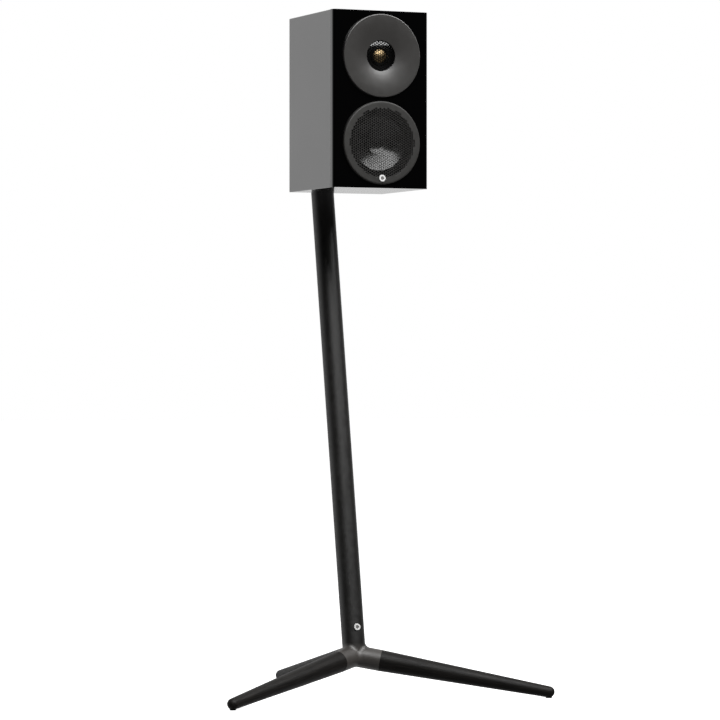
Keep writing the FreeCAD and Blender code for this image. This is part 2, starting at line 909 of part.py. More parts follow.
def board_standoffs():
    """A pillar behind each corner of the board, with its screw."""
    stand, through = S["board_stand"], S["board_stand"] + S["board_thick"]
    pillar, shank, head = 3.5, S["screw_radius"], 3
    outline = [(0, 0), (pillar, 0), (pillar, stand), (shank, stand)]
    outline += [(shank, through), (head, through), (head, through + 2), (0, through + 2)]
    pieces = [
        revolved(f"standoff_{number}", outline, -INNER_HALF, BOARD_Y + along, BOARD_Z + up, SIDEWAYS)
        for number, (along, up) in enumerate(BOARD_CORNERS)
    ]
    return group("board_standoffs", pieces)


def inductors():
    """Two air-cored coils that stand on the board."""
    inner, outer, length = 8, 16, 13
    outline = [(inner, 0), (outer, 0), (outer, length), (inner, length)]
    pieces = [
        revolved(f"inductor_{along}", outline, BOARD_TOP_X, BOARD_Y + along, BOARD_Z + 78, SIDEWAYS)
        for along in (26, 62)
    ]
    return group("inductors", pieces)


def capacitors():
    radius, length, lift = 6.5, 30, 6.7
    pieces = [
        cylinder(f"capacitor_{along}", radius, length, BOARD_TOP_X + lift, BOARD_Y + along, BOARD_Z + 9)
        for along in (20, 37, 54)
    ]
    return group("capacitors", pieces)


def resistors():
    sides = (6, 8, 34)
    pieces = [
        box(f"resistor_{along}", (BOARD_TOP_X, BOARD_Y + along, BOARD_Z + 8), sides)
        for along in (66, 78)
    ]
    return group("resistors", pieces)


POST_INNER = 14


def wire(label, places):
    """One insulated wire: straight runs joined by round bends."""
    points = [Vector(*(as_size(part).value for part in place_of)) for place_of in places]
    bend = S["wire_bend"].value
    edges = []
    start = points[0]
    for before, corner, after in zip(points, points[1:], points[2:]):
        entry = corner + (before - corner).normalize() * bend
        leave = corner + (after - corner).normalize() * bend
        centre = entry + leave - corner
        middle = centre + (corner - centre).normalize() * bend
        edges += [Part.LineSegment(start, entry).toShape(), Part.Arc(entry, middle, leave).toShape()]
        start = leave
    edges.append(Part.LineSegment(start, points[-1]).toShape())
    path = Part.Wire(edges)
    section = Part.Wire(Part.makeCircle(S["wire_radius"].value, points[0], points[1] - points[0]))
    tube = path.makePipeShell([section], True, False)
    item = doc.addObject("Part::Feature", label)
    item.Shape = tube
    long = tube.Volume / (math.pi * S["wire_radius"].value ** 2)
    print(f"{label}: bends {bend:.0f} mm, {long:.1f} mm long")
    return item


def internal_wires():
    """Terminals to board, and board to both drivers."""
    post_y = REAR_Y - POST_INNER
    drop_x = BOARD_TOP_X + 9.4
    tag_y = TAG_Y + 0.8
    cup_y = FRONT_Y + S["rear_cup_depth"]
    pieces = []
    for side, along in ((1, 87), (-1, 95)):
        x, y = S["post_offset"] * side, BOARD_Y + along
        route = [(x, post_y, TERMINAL_Z), (x, y, TERMINAL_Z), (BOARD_TOP_X, y, TERMINAL_Z)]
        pieces.append(wire(f"terminal_wire_{along}", route))
    for side, along in ((-1, 28), (1, 46)):
        y, low_z, high_z = BOARD_Y + along, WOOFER_Z + TAG_SPREAD * side, BOARD_Z + 5
        route = [(BOARD_TOP_X, y, high_z), (drop_x, y, high_z), (drop_x, y, low_z), (drop_x, tag_y, low_z)]
        pieces.append(wire(f"woofer_wire_{along}", route))
        x, y, z = 8 * side - 8, BOARD_Y + 36 + along, TWEETER_Z + 3 * side
        pieces.append(wire(f"tweeter_wire_{along}", [(BOARD_TOP_X, y, z), (x, y, z), (x, cup_y, z)]))
    return group("internal_wires", pieces)


# Terminals, on the back.


def terminal_plate():
    body = new_body("terminal_plate", 0, REAR_Y, TERMINAL_Z, BACKWARD)
    face = new_sketch(body, "XY_Plane")
    half_wide, half_high, corner = 40, 22, 6
    inner_wide, inner_high = half_wide - corner, half_high - corner
    draw_outline(
        face,
        [
            (-inner_wide, -half_high),
            (inner_wide, -half_high, corner),
            (half_wide, -inner_high),
            (half_wide, inner_high, corner),
            (inner_wide, half_high),
            (-inner_wide, half_high, corner),
            (-half_wide, inner_high),
            (-half_wide, -inner_high, corner),
        ],
    )
    for side in (-1, 1):
        draw_circle(face, S["post_offset"] * side, 0, S["stem_radius"] + S["running_gap"])
    for across, up in TERMINAL_HOLES:
        draw_circle(face, across, up, S["screw_radius"] + S["running_gap"])
    pad(body, face, S["terminal_plate_thick"])
    return body


def terminal_screws():
    top = S["terminal_plate_thick"]
    shank, head = S["screw_radius"], 2.8
    outline = [(0, -9), (shank, -9), (shank, top), (head, top), (head, top + 0.8, 1.2), (head - 1, top + 1.6)]
    outline.append((0, top + 1.6))
    return socket_screws("terminal_screws", outline, TERMINAL_HOLES, TERMINAL_Z, 1.2)


def post_stems():
    """Two threaded posts, each with a collar, an inner nut and a bore for a 4 mm plug."""
    stem, plug, end = S["stem_radius"], S["plug_radius"], S["stem_length"]
    top = S["terminal_plate_thick"]
    outline = [
        (0, -POST_INNER),
        (stem - 0.5, -POST_INNER),
        (stem - 0.5, -4),
        (5.5, -4),
        (5.5, 0),
        (stem, 0),
        (stem, top),
        (6, top),
        (6, top + 2),
        (stem, top + 2),
        (stem, end),
        (plug, end),
        (plug, 4),
        (0, 4),
    ]
    pieces = [
        revolved(f"stem_{side}", outline, S["post_offset"] * side, REAR_Y, TERMINAL_Z, BACKWARD)
        for side in (-1, 1)
    ]
    return group("post_stems", pieces)


def post_insert(label, side):
    """The threaded brass nut inside a knob."""
    inner, outer = S["stem_radius"] + S["running_gap"], S["insert_radius"]
    outline = [(inner, 6), (outer, 6), (outer, 15.8), (inner, 15.8)]
    return revolved(label, outline, S["post_offset"] * side, REAR_Y, TERMINAL_Z, BACKWARD)


def post_knob(label, side):
    """The fluted cap that turns round the insert."""
    inner, outer = S["insert_radius"] + S["running_gap"], S["knob_radius"]
    front, shoulder, end = 5.4, 16.2, 18.5
    outline = [
        (inner, front),
        (outer, front),
        (outer, end - 1.5, 1.5),
        (outer - 1.5, end),
        (S["stem_radius"] + 0.4, end),
        (S["stem_radius"] + 0.4, shoulder),
        (inner, shoulder),
    ]
    body = revolved(label, outline, S["post_offset"] * side, REAR_Y, TERMINAL_Z, BACKWARD)
    flute = new_sketch(body, "XY_Plane")
    draw_circle(flute, outer + 0.5, 0, 1.1)
    groove = pocket(body, flute, end + 1, reverse=True)
    around(body, groove, 16)
    return body


# Tilt bracket between the cabinet and the column.


def along_column(up, forward=0):
    """The Y and Z of a place on the column: up its axis from the hub, and forward of that axis."""
    y = HUB_Y + up * LEAN_SINE - forward * LEAN_COSINE
    z = S["hub_rise"] + up * LEAN_COSINE + forward * LEAN_SINE
    return y, z


def pivot_hole(label):
    """The tool that bores the pivot's hole."""
    long = 80
    radius = S["pivot_radius"] + S["running_gap"]
    return cylinder(label, radius, long, as_size(-long / 2), PIVOT_Y, PIVOT_Z, SIDEWAYS)


def bracket_plate():
    """The plate on the cabinet's back, with the tongue that the pivot bolt passes through."""
    half_wide, half_high, thick = 30, 40, 4
    tongue, eye = S["tongue_thick"], S["eye_radius"]
    flat = new_body("bracket_flat", 0, REAR_Y, PIVOT_Z, BACKWARD)
    face = new_sketch(flat, "XY_Plane")
    draw_rectangle(face, -half_wide, -half_high, half_wide, half_high)
    for across, up in BRACKET_HOLES:
        draw_circle(face, across, up, 2 + S["running_gap"])
    pad(flat, face, thick)
    neck = box("bracket_neck", (-tongue / 2, REAR_Y, PIVOT_Z - eye), (tongue, S["pivot_back"], eye * 2))
    boss = cylinder("bracket_boss", eye, tongue, -tongue / 2, PIVOT_Y, PIVOT_Z, SIDEWAYS)
    return cut("bracket_plate", fuse("bracket_solid", [flat, neck, boss]), pivot_hole("bracket_hole"))


def bracket_arm():
    """A collar round the column's top and a fork that holds the tongue."""
    eye, ear = S["eye_radius"], S["ear_thick"]
    inner = S["tongue_thick"] / 2 + S["loose_gap"]
    outer = inner + ear
    block_y = PIVOT_Y + eye + 2
    column_y = HUB_Y + (PIVOT_Z - S["hub_rise"]) * LEAN_SINE / LEAN_COSINE
    pieces = [box("arm_block", (-outer, block_y, PIVOT_Z - eye), (outer * 2, column_y - block_y, eye * 2))]
    for name, low_x in (("left", -outer), ("right", inner)):
        pieces.append(box(f"arm_{name}_ear", (low_x, PIVOT_Y, PIVOT_Z - eye), (ear, eye + 4, eye * 2)))
        pieces.append(cylinder(f"arm_{name}_eye", eye, ear, low_x, PIVOT_Y, PIVOT_Z, SIDEWAYS))
    middle = (PIVOT_Z - S["hub_rise"]) / LEAN_COSINE
    low_y, low_z = along_column(middle - S["collar_length"] / 2)
    pieces.append(cylinder("arm_collar", S["collar_radius"], S["collar_length"], 0, low_y, low_z, LEANING))
    bore_y, bore_z = along_column(middle - 60)
    bore = cylinder("arm_bore", S["column_radius"] + S["running_gap"], 120, 0, bore_y, bore_z, LEANING)
    return cut("bracket_arm", fuse("arm_solid", pieces), fuse("arm_holes", [bore, pivot_hole("arm_hole")]))


def pivot_bolt():
    outer = S["tongue_thick"] / 2 + S["loose_gap"] + S["ear_thick"]
    radius, head, spare = S["pivot_radius"], 5, 2
    shank = cylinder("pivot_shank", radius, outer * 2 + head + spare, -outer, PIVOT_Y, PIVOT_Z, SIDEWAYS)
    bolt_head = hexagon("pivot_head", 7.5, head, -outer - head, PIVOT_Y, PIVOT_Z, SIDEWAYS)
    bolt = fuse("pivot_screw", [shank, bolt_head])
    thread = cylinder("pivot_thread", radius + S["running_gap"], 20, outer, PIVOT_Y, PIVOT_Z, SIDEWAYS)
    blank = hexagon("pivot_nut_blank", 7.5, head, outer, PIVOT_Y, PIVOT_Z, SIDEWAYS)
    nut = cut("pivot_nut", blank, thread)
    return group("pivot_bolt", [bolt, nut])


def bracket_screws():
    outline = [(0, -10), (2, -10), (2, 4), (4, 4), (4, 5, 1.5), (2.8, 6.4), (0, 6.4)]
    return socket_screws("bracket_screws", outline, BRACKET_HOLES, PIVOT_Z, 1.7)


# Stand.

COLUMN_TOP = (PIVOT_Z + S["column_above_pivot"] - S["hub_rise"]) / LEAN_COSINE


def column():
    low_y, low_z = along_column(S["column_start"])
    body = new_body("column", 0, low_y, low_z, LEANING)
    plan = new_sketch(body, "XY_Plane")
    draw_circle(plan, 0, 0, S["column_radius"])
    draw_circle(plan, 0, 0, S["column_radius"] - S["column_wall"])
    pad(body, plan, COLUMN_TOP - S["column_start"])
    return body


def column_cap():
    outer = S["column_radius"]
    plug = outer - S["column_wall"] - S["running_gap"]
    top_y, top_z = along_column(COLUMN_TOP)
    outline = [(0, -10), (plug, -10), (plug, 0), (outer, 0), (outer, 2, 1), (outer - 1, 3), (0, 3)]
    return revolved("column_cap", outline, 0, top_y, top_z, LEANING)


def column_badge():
    """A round badge that sits on the front of the column."""
    depth = 1.5
    face_y, face_z = along_column(S["column_badge_up"], S["column_radius"] - depth)
    blank = cylinder(
        "badge_blank", S["badge_radius"], depth + S["badge_proud"], 0, face_y, face_z, LEANING * FORWARD
    )
    low_y, low_z = along_column(S["column_start"])
    tube = cylinder("badge_seat", S["column_radius"], 60, 0, low_y, low_z, LEANING)
    return cut("column_badge", blank, tube)


def leg(label):
    """A turned, tapered leg with a round tip and a bore for its bolt."""
    start, root_radius, tip = S["leg_start"], S["leg_root_radius"], S["leg_tip_radius"]
    bore, deep = S["bolt_radius"] + S["running_gap"], S["bolt_length"] + 22
    outline = [
        (bore, start),
        (root_radius, start),
        (tip, LEG_LENGTH, tip),
        (0, LEG_LENGTH + tip),
        (0, deep),
        (bore, deep),
    ]
    return revolved(label, outline, 0, HUB_Y, S["hub_rise"], leg_rotation(LEG_BEARINGS[label]))


def along_legs(name, radius, length):
    """One cylinder along each leg's axis, from the hub's middle."""
    return [
        cylinder(f"{label}_{name}", radius, length, 0, HUB_Y, S["hub_rise"], leg_rotation(bearing))
        for label, bearing in LEG_BEARINGS.items()
    ]


def hub():
    """The casting that joins the column and the three legs, with its inner corners blended."""
    arms = along_legs("arm", S["leg_root_radius"], S["leg_start"])
    core = sphere("hub_core", S["column_radius"], 0, HUB_Y, S["hub_rise"])
    socket = cylinder("hub_socket", S["column_radius"], S["column_start"], 0, HUB_Y, S["hub_rise"], LEANING)
    solid = fuse("hub_solid", arms + [core, socket])
    solid.Refine = True
    doc.recompute()
    cast = doc.addObject("Part::Fillet", "hub_cast")
    cast.Base = solid
    blend = S["hub_blend"].value
    cast.Edges = [(number, blend, blend) for number in inner_edges(solid.Shape, arms + [socket])]
    bores = along_legs("bore", S["bolt_radius"] + S["running_gap"], S["bolt_length"])
    return cut("hub", cast, fuse("hub_bores", bores))


def inner_edges(shape, stubs):
    """The numbers of the edges where the stubs meet: all but the round ends and the seams along them."""
    ends = [stub.Placement.multVec(Vector(0, 0, stub.Height.Value)) for stub in stubs]
    numbers = []
    for number, edge in enumerate(shape.Edges, start=1):
        if edge.Degenerated or any((edge.CenterOfMass - end).Length < 2 for end in ends):
            continue
        if edge.Curve.TypeId != "Part::GeomLine":
            numbers.append(number)
    return numbers


def leg_bolts():
    return group("leg_bolts", along_legs("bolt", S["bolt_radius"], S["bolt_length"]))


def foot_pads(legs):
    """A rubber pad under each leg's tip, hollowed to fit it."""
    pieces = []
    for piece in legs:
        bearing = math.radians(LEG_BEARINGS[piece.Label])
        x, y = S["leg_reach"] * math.cos(bearing), HUB_Y + S["leg_reach"] * math.sin(bearing)
        blank = cylinder(f"{piece.Label}_pad_blank", S["pad_radius"], S["pad_height"], x, y, 0)
        pieces.append(cut(f"{piece.Label}_pad", blank, piece))
    return group("foot_pads", pieces)


nodes = [
    front_baffle(),
    side_panel("left_panel", -HALF_WIDTH),
    side_panel("right_panel", INNER_HALF),
    end_panel("top_panel", S["cabinet_bottom"] + S["cabinet_height"] - S["panel_thick"], 1),
    end_panel("bottom_panel", S["cabinet_bottom"], -1),
    rear_panel(),
    cabinet_brace(),
    damping_foam(),
    port_tube(),
    front_badge(),
    woofer_basket(),
    woofer_surround(),
    woofer_cone(),
    woofer_dust_cap(),
    woofer_coil_former(),
    woofer_voice_coil(),
    woofer_spider(),
    woofer_top_plate(),
    woofer_magnet(),
    woofer_back_plate(),
    woofer_terminals(),
    woofer_grille(),
    tweeter_waveguide(),
    tweeter_faceplate(),
    tweeter_mesh(),
    tweeter_dome(),
    tweeter_surround(),
    tweeter_voice_coil(),
    tweeter_top_plate(),
    tweeter_magnet(),
    tweeter_back_plate(),
    tweeter_rear_cup(),
    driver_screws(),
    crossover_board(),
    board_standoffs(),
    inductors(),
    capacitors(),
    resistors(),
    internal_wires(),
    terminal_plate(),
    terminal_screws(),
    post_stems(),
    post_insert("positive_insert", 1),
    post_knob("positive_knob", 1),
    post_insert("negative_insert", -1),
    post_knob("negative_knob", -1),
    bracket_plate(),
    bracket_arm(),
    pivot_bolt(),
    bracket_screws(),
    column(),
    column_cap(),
    column_badge(),
    hub(),
    leg_bolts(),
]
legs = [leg(name) for name in LEG_BEARINGS]
nodes += legs
nodes.append(foot_pads(legs))


def check_and_write(pieces):
    doc.recompute()
    for item in doc.Objects:
        if "Invalid" in item.State or "Error" in item.State:
            raise RuntimeError(f"{item.Label} failed: {item.State}")
    os.makedirs("parts", exist_ok=True)
    for piece in pieces:
        shape = piece.Shape
        if shape.isNull() or not shape.isValid() or shape.Volume <= 0:
            raise RuntimeError(f"{piece.Label} has no valid solid")
        shape.exportStep(f"parts/{piece.Label}.step")
        print(f"{piece.Label}: {len(shape.Solids)} solid, {shape.Volume:.1f} mm3")


check_and_write(nodes)
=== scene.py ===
"""The looks of a two-way loudspeaker on a leaning-column tripod stand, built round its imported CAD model."""

import math

import bmesh
import bpy
from mathutils import Matrix, Vector


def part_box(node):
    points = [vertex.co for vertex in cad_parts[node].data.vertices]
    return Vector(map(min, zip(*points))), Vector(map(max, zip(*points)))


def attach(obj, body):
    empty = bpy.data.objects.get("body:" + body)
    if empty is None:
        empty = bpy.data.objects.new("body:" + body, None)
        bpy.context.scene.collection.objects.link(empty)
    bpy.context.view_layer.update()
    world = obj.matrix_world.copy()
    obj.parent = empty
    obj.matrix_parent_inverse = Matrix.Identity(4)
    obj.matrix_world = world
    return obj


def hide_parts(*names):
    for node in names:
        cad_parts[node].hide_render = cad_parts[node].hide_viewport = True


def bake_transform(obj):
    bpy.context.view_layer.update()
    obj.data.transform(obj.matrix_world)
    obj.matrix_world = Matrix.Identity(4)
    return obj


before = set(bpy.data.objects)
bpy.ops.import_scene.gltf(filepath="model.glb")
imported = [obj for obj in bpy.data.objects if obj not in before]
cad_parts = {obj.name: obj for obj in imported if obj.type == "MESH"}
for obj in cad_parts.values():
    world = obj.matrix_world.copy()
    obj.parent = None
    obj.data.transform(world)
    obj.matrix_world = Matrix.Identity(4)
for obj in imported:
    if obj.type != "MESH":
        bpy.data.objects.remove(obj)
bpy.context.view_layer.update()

MM = 0.001
FORWARD = Vector((0, -1, 0))

# Places and sizes, in metres, from the CAD nodes where they have them.
FACE_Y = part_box("front_baffle")[0].y
COLUMN_LEAN = math.radians(10.04)
HUB_TOP_Z = 0.08
HUB_FADE = 0.012
HOLE_PITCH = 3.68 * MM
HOLE_EDGE_GAP = 0.59 * HOLE_PITCH
SURROUND_SECTORS = 16


def on_the_face(node):
    """The point of the baffle's face in front of a round node's middle."""
    low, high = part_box(node)
    return Vector((0, FACE_Y, (low.z + high.z) / 2))


WOOFER = on_the_face("woofer_grille")
TWEETER = on_the_face("tweeter_waveguide")


# Mesh building.

SHARP_ANGLE = math.radians(35)
ROUND_SEGMENTS = 160


def finished(name, mesh, material, body):
    """Turns a bmesh into a piece, smooth apart from its tagged faces. With a body, it rides on that."""
    smooth = [not face.tag for face in mesh.faces]
    bmesh.ops.recalc_face_normals(mesh, faces=mesh.faces[:])
    data = bpy.data.meshes.new(name)
    mesh.to_mesh(data)
    mesh.free()
    data.set_sharp_from_angle(angle=SHARP_ANGLE)
    data.polygons.foreach_set("use_smooth", smooth)
    piece = bpy.data.objects.new(name, data)
    bpy.context.scene.collection.objects.link(piece)
    data.materials.append(material)
    if body:
        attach(piece, body)
    return piece


def facing(centre, direction):
    """The matrix that puts a piece made about +Z at centre, with its +Z along direction."""
    turn = Vector((0, 0, 1)).rotation_difference(Vector(direction).normalized())
    return Matrix.Translation(centre) @ turn.to_matrix().to_4x4()


def arc(centre, radius, start, end, count):
    """Points on a circle in an outline, from one angle to another, in degrees."""
    points = []
    for step in range(count + 1):
        angle = math.radians(start + (end - start) * step / count)
        points.append((centre[0] + radius * math.cos(angle), centre[1] + radius * math.sin(angle)))
    return points


def dome_height(radius, base, rise):
    """How high a spherical cap stands above its base, at a distance from its middle."""
    sphere = (base * base + rise * rise) / (2 * rise)
    return math.sqrt(max(sphere * sphere - radius * radius, 0)) - (sphere - rise)


def angles_round(count):
    """Angles evenly spaced round a circle."""
    return [2 * math.pi * step / count for step in range(count)]


def ring_of(mesh, radius, height, segments):
    """A ring of new vertices about Z."""
    return [
        mesh.verts.new((radius * math.cos(angle), radius * math.sin(angle), height))
        for angle in angles_round(segments)
    ]


def add_lathe(mesh, outline, segments=ROUND_SEGMENTS, closed=True):
    """Turns an outline of (radius, height) points about Z."""
    rings = []
    for radius, height in outline:
        if radius < 1e-7:
            rings.append([mesh.verts.new((0, 0, height))] * segments)
        else:
            rings.append(ring_of(mesh, radius, height, segments))
    pairs = list(zip(rings, rings[1:]))
    if closed:
        pairs.append((rings[-1], rings[0]))
    for low, high in pairs:
        for step in range(segments):
            following = (step + 1) % segments
            corners = list(dict.fromkeys([low[step], low[following], high[following], high[step]]))
            if len(corners) > 2:
                mesh.faces.new(corners)


def lathe(name, outline, centre, direction, material, body, segments):
    """A piece turned about a direction through its centre."""
    mesh = bmesh.new()
    add_lathe(mesh, outline, segments)
    mesh.transform(facing(centre, direction))
    return finished(name, mesh, material, body)


def hole_centres(zone):
    """The middles of a staggered pattern of holes, in upright rows, that lie whole inside a circle."""
    row_step = HOLE_PITCH * math.sqrt(0.75)
    rows = int(zone / row_step) + 1
    across = int(zone / HOLE_PITCH) + 1
    centres = []
    for row in range(-rows, rows + 1):
        for column in range(-across, across + 1):
            x = row_step * row
            y = HOLE_PITCH * (column + 0.5 * (row % 2))
            if math.hypot(x, y) < zone - HOLE_EDGE_GAP:
                centres.append((x, y))
    return centres


def hexagon(x, y, reach):
    """The corners and the middles of the sides of a hexagon, in turn."""
    points = []
    for step in range(12):
        angle = math.radians(30 * step)
        share = math.cos(math.radians(30)) if step % 2 else 1
        points.append((x + reach * share * math.cos(angle), y + reach * share * math.sin(angle)))
    return points


def add_pierced_disc(mesh, zone, hole, height_at):
    """A disc pierced with six-sided holes, with its faces tagged. Hands back its outer ring of vertices."""
    shared = {}

    def vertex(x, y):
        return mesh.verts.new((x, y, height_at(math.hypot(x, y))))

    def shared_vertex(x, y):
        key = (round(x / HOLE_PITCH * 1e4), round(y / HOLE_PITCH * 1e4))
        if key not in shared:
            shared[key] = vertex(x, y)
        return shared[key]

    hole_edges = set()
    for x, y in hole_centres(zone):
        outer = [shared_vertex(*point) for point in hexagon(x, y, HOLE_PITCH / math.sqrt(3))]
        inner = [vertex(*point) for point in hexagon(x, y, hole)]
        for step in range(len(outer)):
            following = (step + 1) % len(outer)
            mesh.faces.new([outer[step], outer[following], inner[following], inner[step]])
            hole_edges.add(mesh.edges.get((inner[step], inner[following])))
    border = [edge for edge in mesh.edges if edge.is_boundary and edge not in hole_edges]
    rim = [vertex(zone * math.cos(angle), zone * math.sin(angle)) for angle in angles_round(ROUND_SEGMENTS)]
    rim_edges = [mesh.edges.new(pair) for pair in zip(rim, rim[1:] + rim[:1])]
    bmesh.ops.triangle_fill(mesh, edges=border + rim_edges, use_beauty=True, use_dissolve=False)
    for face in mesh.faces:
        face.tag = True
    return rim


def trim(mesh, edge, height):
    """Cuts a pierced disc off at a circle, through whatever holes lie across it."""
    for vertex in mesh.verts:
        reach = math.hypot(vertex.co.x, vertex.co.y)
        vertex.tag = reach > edge
        if vertex.tag:
            vertex.co = (vertex.co.x * edge / reach, vertex.co.y * edge / reach, height)
    outside = [face for face in mesh.faces if all(vertex.tag for vertex in face.verts)]
    bmesh.ops.delete(mesh, geom=outside, context="FACES")


def carry_on(mesh, ring, outline):
    """Continues a disc's outer ring through further (radius, height) rings."""
    segments = len(ring)
    for radius, height in outline:
        following_ring = ring_of(mesh, radius, height, segments)
        for step in range(segments):
            after = (step + 1) % segments
            mesh.faces.new([ring[step], ring[after], following_ring[after], following_ring[step]])
        ring = following_ring


def thicken(piece, thickness):
    """Gives a surface its sheet's thickness, on its inner side."""
    sheet = piece.modifiers.new("sheet", "SOLIDIFY")
    sheet.thickness = thickness
    sheet.offset = -1


# Materials. Object coordinates are metres in the speaker's own frame.

# Nearly all of a noise texture's values lie between these two.
NOISE_LOW, NOISE_HIGH = 0.35, 0.65
# A wave texture's period, in metres, at a scale of 1.
WAVE_PERIOD = 0.314


class Finish:
    """A node material under construction: the shader, its coordinates and short ways to add detail."""

    def __init__(self, name, colour, roughness, metallic=0.0, **sockets):
        self.material = bpy.data.materials.new(name)
        self.material.use_nodes = True
        self.tree = self.material.node_tree
        self.shader = self.tree.nodes["Principled BSDF"]
        self.shader.inputs["Base Color"].default_value = (*colour, 1)
        self.shader.inputs["Roughness"].default_value = roughness
        self.shader.inputs["Metallic"].default_value = metallic
        for socket, value in sockets.items():
            self.shader.inputs[socket.replace("_", " ")].default_value = value
        self.colour = colour
        self.roughness = roughness
        self.normal = None
        coordinates = self.tree.nodes.new("ShaderNodeTexCoord")
        self.place = coordinates.outputs["Object"]

    def link(self, output, target):
        self.tree.links.new(output, target)

    def stretched(self, scale, direction):
        """Coordinates turned so that Z runs along a direction, then scaled."""
        mapping = self.tree.nodes.new("ShaderNodeMapping")
        mapping.vector_type = "TEXTURE"
        turn = Vector((0, 0, 1)).rotation_difference(Vector(direction))
        mapping.inputs["Rotation"].default_value = turn.to_euler()
        mapping.inputs["Scale"].default_value = [1 / part for part in scale]
        self.link(self.place, mapping.inputs["Vector"])
        return mapping.outputs["Vector"]

    def noise(self, scale, detail, place=None):
        """A noise texture's value at each point."""
        texture = self.tree.nodes.new("ShaderNodeTexNoise")
        texture.inputs["Scale"].default_value = scale
        texture.inputs["Detail"].default_value = detail
        self.link(place or self.place, texture.inputs["Vector"])
        return texture.outputs["Fac"]

    def spread(self, factor, low, high, floor=NOISE_LOW, ceiling=NOISE_HIGH):
        """Maps a texture's middle range onto low to high."""
        node = self.tree.nodes.new("ShaderNodeMapRange")
        for socket, value in zip(("From Min", "From Max", "To Min", "To Max"), (floor, ceiling, low, high)):
            node.inputs[socket].default_value = value
        self.link(factor, node.inputs["Value"])
        return node.outputs["Result"]

    def tint(self, factor, low, high):
        """Lets a texture move the base colour between two shares of itself."""
        ramp = self.tree.nodes.new("ShaderNodeValToRGB")
        for element, position, share in zip(ramp.color_ramp.elements, (NOISE_LOW, NOISE_HIGH), (low, high)):
            share = share if isinstance(share, tuple) else (share,) * 3
            element.position = position
            element.color = (*[min(part * by, 1) for part, by in zip(self.colour, share)], 1)
        self.link(factor, ramp.inputs["Fac"])
        self.link(ramp.outputs["Color"], self.shader.inputs["Base Color"])
        return self

    def rough(self, factor, change):
        """Lets a texture move the roughness up and down."""
        low, high = max(self.roughness - change, 0.01), min(self.roughness + change, 1)
        self.link(self.spread(factor, low, high), self.shader.inputs["Roughness"])
        return self

    def bump(self, height, distance):
        """Raises the surface by a texture, on top of any bump before it."""
        node = self.tree.nodes.new("ShaderNodeBump")
        node.inputs["Distance"].default_value = distance
        node.inputs["Strength"].default_value = 1.0
        self.link(height, node.inputs["Height"])
        if self.normal is not None:
            self.link(self.normal, node.inputs["Normal"])
        self.normal = node.outputs["Normal"]
        self.link(self.normal, self.shader.inputs["Normal"])
        return self


def lacquer(name, colour, roughness, coat):
    """Sprayed lacquer: an almost flat skin with a faint orange peel."""
    finish = Finish(name, colour, roughness, Coat_Weight=coat, Coat_Roughness=0.03, Coat_IOR=1.5)
    finish.tint(finish.noise(9, 4), 0.98, 1.02)
    finish.rough(finish.noise(5, 2), roughness * 0.1)
    finish.bump(finish.noise(260, 1), 0.0000006)
    return finish.material


def moulded(name, colour, roughness, grain=0.00003, gloss=0.5, coat=0.0):
    """Moulded or fine-textured plastic, with a satin clear coat where there is one."""
    finish = Finish(name, colour, roughness, Specular_IOR_Level=gloss, Coat_Weight=coat, Coat_Roughness=0.3)
    finish.tint(finish.noise(25, 3), 0.98, 1.02)
    finish.rough(finish.noise(90, 3), 0.02)
    finish.bump(finish.noise(2600, 2), grain)
    return finish.material


def powder_finish(name, colour, roughness, grain, gloss):
    """Baked paint with a fine even texture, as a finish that more can be added to."""
    finish = Finish(name, colour, roughness, Specular_IOR_Level=gloss)
    finish.tint(finish.noise(14, 4), 0.9, 1.1)
    finish.rough(finish.noise(120, 3), 0.05)
    finish.bump(finish.noise(1800, 3), grain)
    return finish


def powder_coat(name, colour, roughness, grain=0.00004, gloss=0.5):
    """Baked paint, finished."""
    return powder_finish(name, colour, roughness, grain, gloss).material


def bare_metal(name, colour, roughness, scratch=0.00001):
    """Turned or rolled metal with faint scratches and stains."""
    finish = Finish(name, colour, roughness, metallic=1.0)
    finish.tint(finish.noise(40, 4), 0.9, 1.08)
    finish.rough(finish.noise(150, 3), 0.07)
    finish.bump(finish.noise(1500, 2), scratch)
    return finish.material


def satin_silver(name, colour):
    """Silver paint over metal: pale from every side."""
    finish = Finish(name, colour, 0.4, metallic=0.15, Specular_IOR_Level=1.0)
    finish.tint(finish.noise(60, 3), 0.95, 1.0)
    finish.rough(finish.noise(400, 3), 0.05)
    finish.bump(finish.noise(1500, 2), 0.000005)
    return finish.material


def cast_hub(name, colour, dark):
    """Painted casting: the column's dark coat runs down over the socket and gives way to grey on the arms."""
    finish = powder_finish(name, colour, 0.44, 0.00003, 0.75)
    split = finish.tree.nodes.new("ShaderNodeSeparateXYZ")
    finish.link(finish.place, split.inputs["Vector"])
    height = finish.spread(split.outputs["Z"], 0, 1, HUB_TOP_Z - HUB_FADE, HUB_TOP_Z)
    blend = finish.tree.nodes.new("ShaderNodeMix")
    blend.data_type = "RGBA"
    finish.link(height, blend.inputs["Factor"])
    finish.link(finish.shader.inputs["Base Color"].links[0].from_socket, blend.inputs["A"])
    blend.inputs["B"].default_value = (*dark, 1)
    finish.link(blend.outputs["Result"], finish.shader.inputs["Base Color"])
    return finish.material


def matte(name, colour, roughness=0.62, gloss=0.2):
    """Rubber, or a dull black coating."""
    finish = Finish(name, colour, roughness, Specular_IOR_Level=gloss)
    finish.tint(finish.noise(60, 3), 0.88, 1.12)
    finish.rough(finish.noise(200, 3), 0.08)
    finish.bump(finish.noise(1400, 3), 0.00003)
    return finish.material


def coated_cone(name, colour):
    """A dark cone under a glossy skin."""
    finish = Finish(name, colour, 0.2, Specular_IOR_Level=1.0)
    finish.tint(finish.noise(260, 5), 0.9, 1.1)
    finish.rough(finish.noise(90, 3), 0.02)
    finish.bump(finish.noise(900, 3), 0.000001)
    return finish.material


